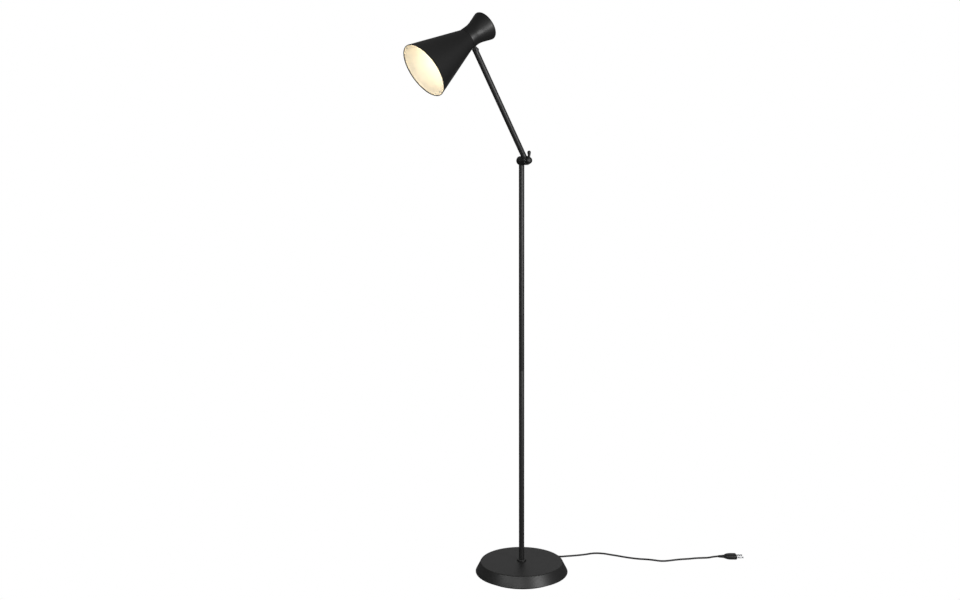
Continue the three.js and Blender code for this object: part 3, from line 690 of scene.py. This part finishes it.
def add_base():
    top = [(radius, dome(radius)) for radius in (4.4, 20, 40, 60, 80, 95, 104)]
    side = math.degrees(math.atan2(RIM_R - TOP_R, TOP_Z - RIM_Z))
    edge = TOP_R + (RIM_R - TOP_R) * 3 / (TOP_Z - RIM_Z) - 3 / math.cos(math.radians(side))
    crown = arc(edge, 35, 3, 87, side, 9)
    hem = arc(RIM_R - 2.2, RIM_Z + 1.2, 1.35, side, -180 + side, 9)
    under = [(109.6, 34.6), (107.5, 35.8), (80, 36.9), (4.4, 37.9)]
    cover = lathe("base_cover_fine", top + crown + hem + under, Matrix(), 192, closed=True)
    finish_piece(cover, BLACK, "stand", ["base_cover"])
    plate = tube("base_plate_fine", 108, 18, 3.3, 6, Matrix(), 0.5, 160)
    finish_piece(plate, BLACK, "stand", ["base_plate"])
    pad = lathe("foot_pad_fine", eased([(0, 0), (107, 0, 0.6), (107, 3, 0.6), (0, 3)]), Matrix(), 160)
    finish_piece(pad, FELT, "stand", ["foot_pad"])
    low, high = 40.3, 44.3
    corners = [(4.4, low), (12.4, low, 0.3), (12.4, high, 1.7), (4.4, high)]
    collar = lathe("base_collar_fine", eased(corners, closed=True, steps=8), Matrix(), 96, closed=True)
    finish_piece(collar, BLACK, "stand", ["base_collar"])


# ---------------------------------------------------------------------------
# Pole and clamped joint
# ---------------------------------------------------------------------------

TUBE_RADIUS, TUBE_BORE = 7.3, 6.1
SPIGOT_RADIUS, SPIGOT_LENGTH = 5.8, 26
JOINT = Vector(JOINTS["arm_tilt"]["pos_m"])
SEAM_Z = 568


def add_pole():
    lower = tube("lower_pole_fine", TUBE_RADIUS, TUBE_BORE, 44.6, SEAM_Z - GAP / 2)
    upper = tube("upper_pole_fine", TUBE_RADIUS, TUBE_BORE, SEAM_Z + GAP / 2, 1105.7)
    finish_piece(lower, BLACK, "stand", ["lower_pole"])
    finish_piece(upper, BLACK, "stand", ["upper_pole"])


def knuckle(name, half, stem, place):
    """Round cross body about Y with a stem along Z to the end of the tube, blended together."""
    body_profile = eased([(0, -half), (11.8, -half, 1.8), (11.8, half, 1.8), (0, half)], steps=8)
    body = lathe(name, body_profile, place @ along_y(), 96)
    spigot = stem + math.copysign(SPIGOT_LENGTH, stem)
    neck_profile = [(0, 0), (TUBE_RADIUS, 0), (TUBE_RADIUS, stem), (SPIGOT_RADIUS, stem)]
    neck_profile += [(SPIGOT_RADIUS, spigot), (0, spigot)]
    neck = lathe(name + "_neck", neck_profile, place, 72)
    combine(body, [neck], "UNION")
    return soften(body, 0.4, 3)


def add_joint():
    at_pole = Matrix.Translation((0, 0, JOINT.z))
    pole_knuckle = knuckle("pole_knuckle_fine", 9, -22, at_pole)
    finish_piece(pole_knuckle, BLACK, "stand", ["pole_knuckle"])
    washer = eased([(3.6, -11.2), (11, -11.2, 0.3), (11, -9.3, 0.3), (3.6, -9.3)], closed=True)
    finish_piece(
        lathe("friction_washer_fine", washer, at_pole @ along_y(), 96, closed=True),
        PLASTIC,
        "stand",
        ["friction_washer"],
    )
    washer = eased([(3.4, -30), (8.6, -30, 0.3), (8.6, -28.8, 0.3), (3.4, -28.8)], closed=True)
    finish_piece(
        lathe("outer_washer_fine", washer, at_pole @ along_y(), 72, closed=True),
        STEEL,
        "stand",
        ["outer_washer"],
    )
    bolt = [(0, -37.5), (3, -37.5), (3, 9.3), (8, 9.3), (8.1, 9.6)]
    bolt += [(7.9, 10.3), (7.2, 11.1), (6, 11.8), (4.4, 12.3), (2.2, 12.6), (0, 12.7)]
    finish_piece(
        lathe("joint_bolt_fine", bolt, at_pole @ along_y(), 64),
        DARK_STEEL,
        "stand",
        ["joint_bolt"],
    )


def add_lever():
    """Clamp hub with a tapered round peg that stands up from it."""
    at_pole = Matrix.Translation((0, 0, JOINT.z))
    hub_profile = [(0, -30.3), (8.7, -30.3), (9, -30.7), (9, -35.6), (8.8, -36.8), (8.1, -38.3)]
    hub_profile += [(6.9, -39.6), (5.2, -40.5), (3.4, -41), (1.7, -41.2), (0, -41.25)]
    hub = lathe("clamp_lever_fine", hub_profile, at_pole @ along_y(), 96)
    peg_profile = [(0, 4), (2.9, 4), (2.9, 9), (3.2, 11.5), (3.9, 15.5), (4.5, 19)]
    peg_profile += arc(0, 20.75, 4.75, -8, 90, 12)
    peg = lathe("clamp_peg", peg_profile, at_pole @ Matrix.Translation((0, -35.4 * MM, 0)), 48)
    combine(hub, [peg], "UNION")
    soften(hub, 0.3, 2)
    finish_piece(hub, PLASTIC, "lever", ["clamp_lever"])


# ---------------------------------------------------------------------------
# Arm
# ---------------------------------------------------------------------------

LEAN = math.radians(29)
ARM_PLACE = Matrix.Translation(JOINT) @ Matrix.Rotation(-LEAN, 4, "Y")
ARM_LENGTH = (Vector(JOINTS["head_tilt"]["pos_m"]) - JOINT).length / MM
FORK_START = ARM_LENGTH - 22


def add_arm():
    arm_knuckle = knuckle("arm_knuckle_fine", 8.5, 22, ARM_PLACE)
    finish_piece(arm_knuckle, BLACK, "arm", ["arm_knuckle"])
    arm_tube = tube("arm_tube_fine", TUBE_RADIUS, TUBE_BORE, 22.3, FORK_START - GAP, ARM_PLACE)
    finish_piece(arm_tube, BLACK, "arm", ["arm_tube"])
    add_fork()


def add_fork():
    """Slotted end of the arm that holds the shade's tongue, with a pin across it."""
    profile = [(0, FORK_START - SPIGOT_LENGTH), (SPIGOT_RADIUS, FORK_START - SPIGOT_LENGTH)]
    profile += [(SPIGOT_RADIUS, FORK_START), (TUBE_RADIUS, FORK_START)]
    profile += [(TUBE_RADIUS, ARM_LENGTH + 12), (0, ARM_LENGTH + 12)]
    fork = lathe("arm_fork_fine", profile, ARM_PLACE, 96)
    foot = FORK_START - SPIGOT_LENGTH - 2
    end = [(-9, foot), (9, foot), *arc(0, ARM_LENGTH, TUBE_RADIUS, 0, 180, 32)]
    rounding = from_bmesh("rounding", prism_bmesh(end, -9, 9), ARM_PLACE @ SIDEWAYS)
    combine(fork, [rounding], "INTERSECT")
    at_pin = ARM_PLACE @ along_y((0, 0, ARM_LENGTH * MM))
    slot = [(-10, ARM_LENGTH - 9.5), (10, ARM_LENGTH - 9.5), (10, ARM_LENGTH + 12), (-10, ARM_LENGTH + 12)]
    tools = [from_bmesh("slot", prism_bmesh(slot, -2.6, 2.6), ARM_PLACE @ SIDEWAYS)]
    for side in (-1, 1):
        low, high = sorted((side * 6.3, side * 10))
        seat = [(0, low), (4.5, low), (4.5, high), (0, high)]
        tools.append(lathe("seat", seat, at_pin, 48))
    hole = [(0, -12), (2.2, -12), (2.2, 12), (0, 12)]
    tools.append(lathe("hole", hole, at_pin, 32))
    combine(fork, tools, "DIFFERENCE")
    finish_piece(fork, BLACK, "arm", ["arm_fork"])
    pin = [(0, -8.8), (2.2, -8.7), (3.2, -8.2), (3.75, -7.4), (3.8, -6.8), (3.7, -6.6)]
    pin += [(1.9, -6.6), (1.9, 9.1), (1.6, 9.4), (0, 9.4)]
    finish_piece(lathe("head_pin_fine", pin, at_pin, 48), DARK_STEEL, "arm", ["head_pin"])
    nut = from_bmesh("head_pin_nut_fine", prism_bmesh(hexagon(4.1), 6.6, 9), at_pin)
    chamfer = [(0, 6), (3.7, 6), (4.3, 6.9), (4.3, 8.7), (3.7, 9.4), (0, 9.4)]
    combine(nut, [lathe("chamfer", chamfer, at_pin, 48)], "INTERSECT")
    combine(nut, [lathe("bore", [(0, 5), (2.2, 5), (2.2, 10), (0, 10)], at_pin, 32)], "DIFFERENCE")
    finish_piece(nut, DARK_STEEL, "arm", ["head_pin_nut"])


# ---------------------------------------------------------------------------
# Shade
# ---------------------------------------------------------------------------

DIP = math.radians(34)
PIN_ACROSS, PIN_ALONG = 35, 155
SHADE_PLACE = (
    Matrix.Translation(Vector(JOINTS["head_tilt"]["pos_m"]))
    @ Matrix.Rotation(math.pi / 2 - DIP, 4, "Y")
    @ Matrix.Translation((-PIN_ACROSS * MM, 0, -PIN_ALONG * MM))
)


def paint_inside(obj, material, test):
    """Give the material to the faces that pass the test on their middle's radius and height and on
    how far they face outward and along, all in the shade's own frame."""
    obj.data.materials.append(material)
    back = SHADE_PLACE.inverted()
    for face in obj.data.polygons:
        centre = back @ face.center / MM
        normal = back.to_3x3() @ face.normal
        outward = Vector((centre.x, centre.y, 0)).normalized().dot(normal)
        face.material_index = 1 if test(math.hypot(centre.x, centre.y), centre.z, outward, normal.z) else 0


def add_cone():
    """Straight cone with a thin rolled rim, black outside and white inside."""
    outer = [(26.3, 147), (26.9, 146.6), (27.05, 146.1)]
    outer += straight((27.1, 145.8), (72.1, 1.2))
    rim = arc(71.15, 1.1, 1.1, -10, -190, 12)
    inner = straight((70.3, 2.6), (26.1, 145.4))
    profile = [(20, 147), *outer, *rim, *inner, (25.5, 146), (20, 146)]
    cone = lathe("shade_cone_fine", profile, SHADE_PLACE, 160, closed=True)
    finish_piece(cone, HEAD_BLACK, "head", ["shade_cone"])

    def is_inner(radius, z, outward, along):
        return (outward < -0.3 and z > 2.2) or (along < -0.7 and z > 100)

    paint_inside(cone, WHITE, is_inner)


REAR_Z, LIP = 216, 32


def flare_outline(inset):
    """Rear shell's line from the neck to the rounded rear edge."""
    neck, blend, turn, edge_z, edge_r = 26.9, 68, math.radians(17.6), REAR_Z - 4.5, 4.5
    flare_end = neck + blend * (1 - math.cos(turn))
    run = edge_z - edge_r * math.sin(turn) - 165 - blend * math.sin(turn)
    edge_x = flare_end + run * math.tan(turn) - edge_r * math.cos(turn)
    degrees = math.degrees(turn)
    return [
        *arc(neck + blend, 165, blend + inset, 180, 180 - degrees, 12),
        *arc(edge_x, edge_z, edge_r - inset, -degrees, 90, 12),
    ]


def add_rear_shell():
    outer = [(20, 147.3), (26.2, 147.3), (26.75, 147.6), (26.9, 148.2), *flare_outline(0)]
    lip = [(LIP + 0.2, REAR_Z), (LIP, REAR_Z - 0.2), (LIP, REAR_Z - 0.8), (LIP + 0.2, REAR_Z - 1)]
    inner = [*reversed(flare_outline(1)), (25.9, 148.9), (25.6, 148.4), (20, 148.3)]
    shell = lathe("rear_shell_fine", outer + lip + inner, SHADE_PLACE, 160, closed=True)
    slot = [(19.6, -2.7), (28, -2.7), (28, 2.7), (19.6, 2.7)]
    combine(shell, [from_bmesh("slot", prism_bmesh(slot, 148.3, 161.3), SHADE_PLACE)], "DIFFERENCE")
    finish_piece(shell, HEAD_BLACK, "head", ["rear_shell"])
    low, high = REAR_Z - 2.3, REAR_Z - 1.3
    cap_profile = eased([(6.8, low), (33.7, low, 0.2), (33.7, high, 0.2), (6.8, high)], closed=True)
    cap = lathe("rear_cap_fine", cap_profile, SHADE_PLACE, 128, closed=True)
    vent = [(0, low - 1), (2.4, low - 1), (2.4, high + 1), (0, high + 1)]
    vents = []
    for k in range(10):
        angle = 2 * math.pi * k / 10
        where = Matrix.Translation((23 * MM * math.cos(angle), 23 * MM * math.sin(angle), 0))
        vents.append(lathe("vent", vent, SHADE_PLACE @ where, 24))
    combine(cap, vents, "DIFFERENCE")
    finish_piece(cap, HEAD_BLACK, "head", ["rear_cap"])


def add_tongue():
    """Bracket's ring inside the shell and its tongue, whose eye sits in the arm's fork."""
    corners = [(20.2, 148.6), (25.2, 148.6, 0.2), (25.2, 150.1, 0.2), (20.2, 150.1)]
    ring = lathe("head_bracket_fine", eased(corners, closed=True), SHADE_PLACE, 96, closed=True)
    eye = arc(PIN_ACROSS, PIN_ALONG, 6.5, -90, 90, 24)
    outline = [(24.4, 148.6), (PIN_ACROSS, 148.5), *eye, (24.4, 161)]
    tongue = from_bmesh("tongue", prism_bmesh(outline, -2.3, 2.3), SHADE_PLACE @ SIDEWAYS)
    combine(ring, [tongue], "UNION")
    at_pin = SHADE_PLACE @ along_y((PIN_ACROSS * MM, 0, PIN_ALONG * MM))
    combine(ring, [lathe("hole", [(0, -5), (2.2, -5), (2.2, 5), (0, 5)], at_pin, 32)], "DIFFERENCE")
    finish_piece(ring, BLACK, "head", ["head_bracket"])


def add_bulb():
    middle = 104
    neck = [(16.4, 134), (14.9, 138), (14.0, 143), (13.5, 148), (13.3, 151.7)]
    outer = [*arc(0, middle, 30, -90, 36, 28), (20.6, 127), (18.2, 130.5), *neck]
    inner = [*arc(0, middle, 29, -90, 36, 28), (19.6, 126.6), (17.2, 130), *[(r - 1, z) for r, z in neck]]
    bulb = lathe("bulb_globe_fine", outer + inner[::-1], SHADE_PLACE, 96)
    finish_piece(bulb, OPAL, "head", ["bulb_globe"])

    def is_inner(radius, z, outward, along):
        return outward * radius + along * (z - middle) < 0 and z < 128

    paint_inside(bulb, GLASS, is_inner)


def add_switch():
    face, bush = REAR_Z - 2.6, REAR_Z + 1.5
    body = [(0, 200), (8.6, 200), (9, 200.4), (9, face), (6.5, face), (6.5, bush - 0.4), (6.1, bush)]
    body += [(5.2, bush), (4.9, bush - 0.3), (4.9, 206.5), (0, 206.5)]
    body = lathe("switch_body_fine", body, SHADE_PLACE, 64)
    finish_piece(body, PLASTIC, "head", ["switch_body"])
    low = REAR_Z - 1
    nut = from_bmesh("switch_nut_fine", prism_bmesh(hexagon(10), low, low + 2), SHADE_PLACE)
    chamfer = [(0, low - 1), (10.4, low - 1), (10.4, low + 1), (9, low + 2.1), (0, low + 2.1)]
    combine(nut, [lathe("chamfer", chamfer, SHADE_PLACE, 64)], "INTERSECT")
    bore = [(0, low - 1), (6.8, low - 1), (6.8, low + 3), (0, low + 3)]
    combine(nut, [lathe("bore", bore, SHADE_PLACE, 48)], "DIFFERENCE")
    finish_piece(nut, DARK_STEEL, "head", ["switch_nut"])
    tip = REAR_Z + 5.5
    profile = eased([(0, 209.5), (4.5, 209.5), (4.5, tip, 1.3), (0, tip)], steps=8)
    button = lathe("switch_button_fine", profile, SHADE_PLACE, 64)
    finish_piece(button, PLASTIC, "button", ["switch_button"])


def paint_inner_nodes():
    """Materials of the CAD solids that stay as they are, out of sight inside the lamp."""
    materials = {
        IRON: ["base_weight"],
        STEEL: ["base_stud", "stud_washer", "stud_nut", "pole_socket", "pole_coupling", "bulb_cap"],
        PLASTIC: ["lamp_holder", "holder_ring"],
        LEAD: ["base_lead", "pole_lead", "arm_lead"],
    }
    for material, nodes in materials.items():
        for node in nodes:
            data = bpy.data.objects[node].data
            data.materials.clear()
            data.materials.append(material)


# ---------------------------------------------------------------------------
# Stage
# ---------------------------------------------------------------------------


# Softboxes: name, place before the lamp, aimed at, width and height, watts
SOFTBOXES = (
    ("key", (2.1, -2.1, 1.2), (0, 0, 0.9), (1.0, 1.6), 56),
    ("side", (-0.4, -2.9, 1.4), (0, 0, 1.0), (0.8, 1.6), 20),
    ("back", (0.1, 2.8, 1.7), (0, 0, 0.6), (2.6, 1.2), 4),
)


def add_floor():
    bm = bmesh.new()
    bmesh.ops.create_grid(bm, x_segments=1, y_segments=1, size=30)
    mesh = bpy.data.meshes.new("floor")
    bm.to_mesh(mesh)
    bm.free()
    floor = bpy.data.objects.new("floor", mesh)
    bpy.context.scene.collection.objects.link(floor)
    material = bpy.data.materials.new("floor")
    material.use_nodes = True
    nodes, links = material.node_tree.nodes, material.node_tree.links
    nodes.clear()
    diffuse = nodes.new("ShaderNodeBsdfDiffuse")
    diffuse.inputs["Color"].default_value = (0.22, 0.22, 0.22, 1)
    glow = nodes.new("ShaderNodeEmission")
    glow.inputs["Strength"].default_value = 1.0
    mix = nodes.new("ShaderNodeMixShader")
    output = nodes.new("ShaderNodeOutputMaterial")
    links.new(nodes.new("ShaderNodeLightPath").outputs["Is Camera Ray"], mix.inputs["Fac"])
    links.new(diffuse.outputs["BSDF"], mix.inputs[1])
    links.new(glow.outputs["Emission"], mix.inputs[2])
    links.new(mix.outputs["Shader"], output.inputs["Surface"])
    mesh.materials.append(material)


def add_area(name, place, target, size, power):
    data = bpy.data.lights.new(name, "AREA")
    data.shape = "RECTANGLE"
    data.size, data.size_y = size
    data.energy = power
    light = bpy.data.objects.new(name, data)
    light.location = place
    direction = Vector(target) - Vector(place)
    light.rotation_euler = direction.to_track_quat("-Z", "Y").to_euler()
    bpy.context.scene.collection.objects.link(light)


def add_light():
    world = bpy.data.worlds.new("studio")
    bpy.context.scene.world = world
    world.use_nodes = True
    nodes, links = world.node_tree.nodes, world.node_tree.links
    nodes.clear()
    seen = nodes.new("ShaderNodeBackground")
    soft = nodes.new("ShaderNodeBackground")
    soft.inputs["Strength"].default_value = 0.16
    mix = nodes.new("ShaderNodeMixShader")
    output = nodes.new("ShaderNodeOutputWorld")
    links.new(nodes.new("ShaderNodeLightPath").outputs["Is Camera Ray"], mix.inputs["Fac"])
    links.new(soft.outputs["Background"], mix.inputs[1])
    links.new(seen.outputs["Background"], mix.inputs[2])
    links.new(mix.outputs["Shader"], output.inputs["Surface"])
    for background in (seen, soft):
        background.inputs["Color"].default_value = (1, 1, 1, 1)
    for name, spot, target, size, power in SOFTBOXES:
        add_area(name, CORD_TURN @ Vector(spot), target, size, power)
    data = bpy.data.lights.new("low", "SPOT")
    data.energy = 170
    data.spot_size = math.radians(26)
    data.spot_blend = 0.9
    data.shadow_soft_size = 0.8
    light = bpy.data.objects.new("low", data)
    light.location = CORD_TURN @ Vector((-2.0, -2.1, 1.8))
    light.rotation_euler = (-light.location).to_track_quat("-Z", "Y").to_euler()
    bpy.context.scene.collection.objects.link(light)


add_base()
add_pole()
add_joint()
add_lever()
add_arm()
add_cone()
add_rear_shell()
add_tongue()
add_bulb()
add_switch()
paint_inner_nodes()
add_floor()
add_light()
bpy.context.scene.view_settings.view_transform = "Standard"
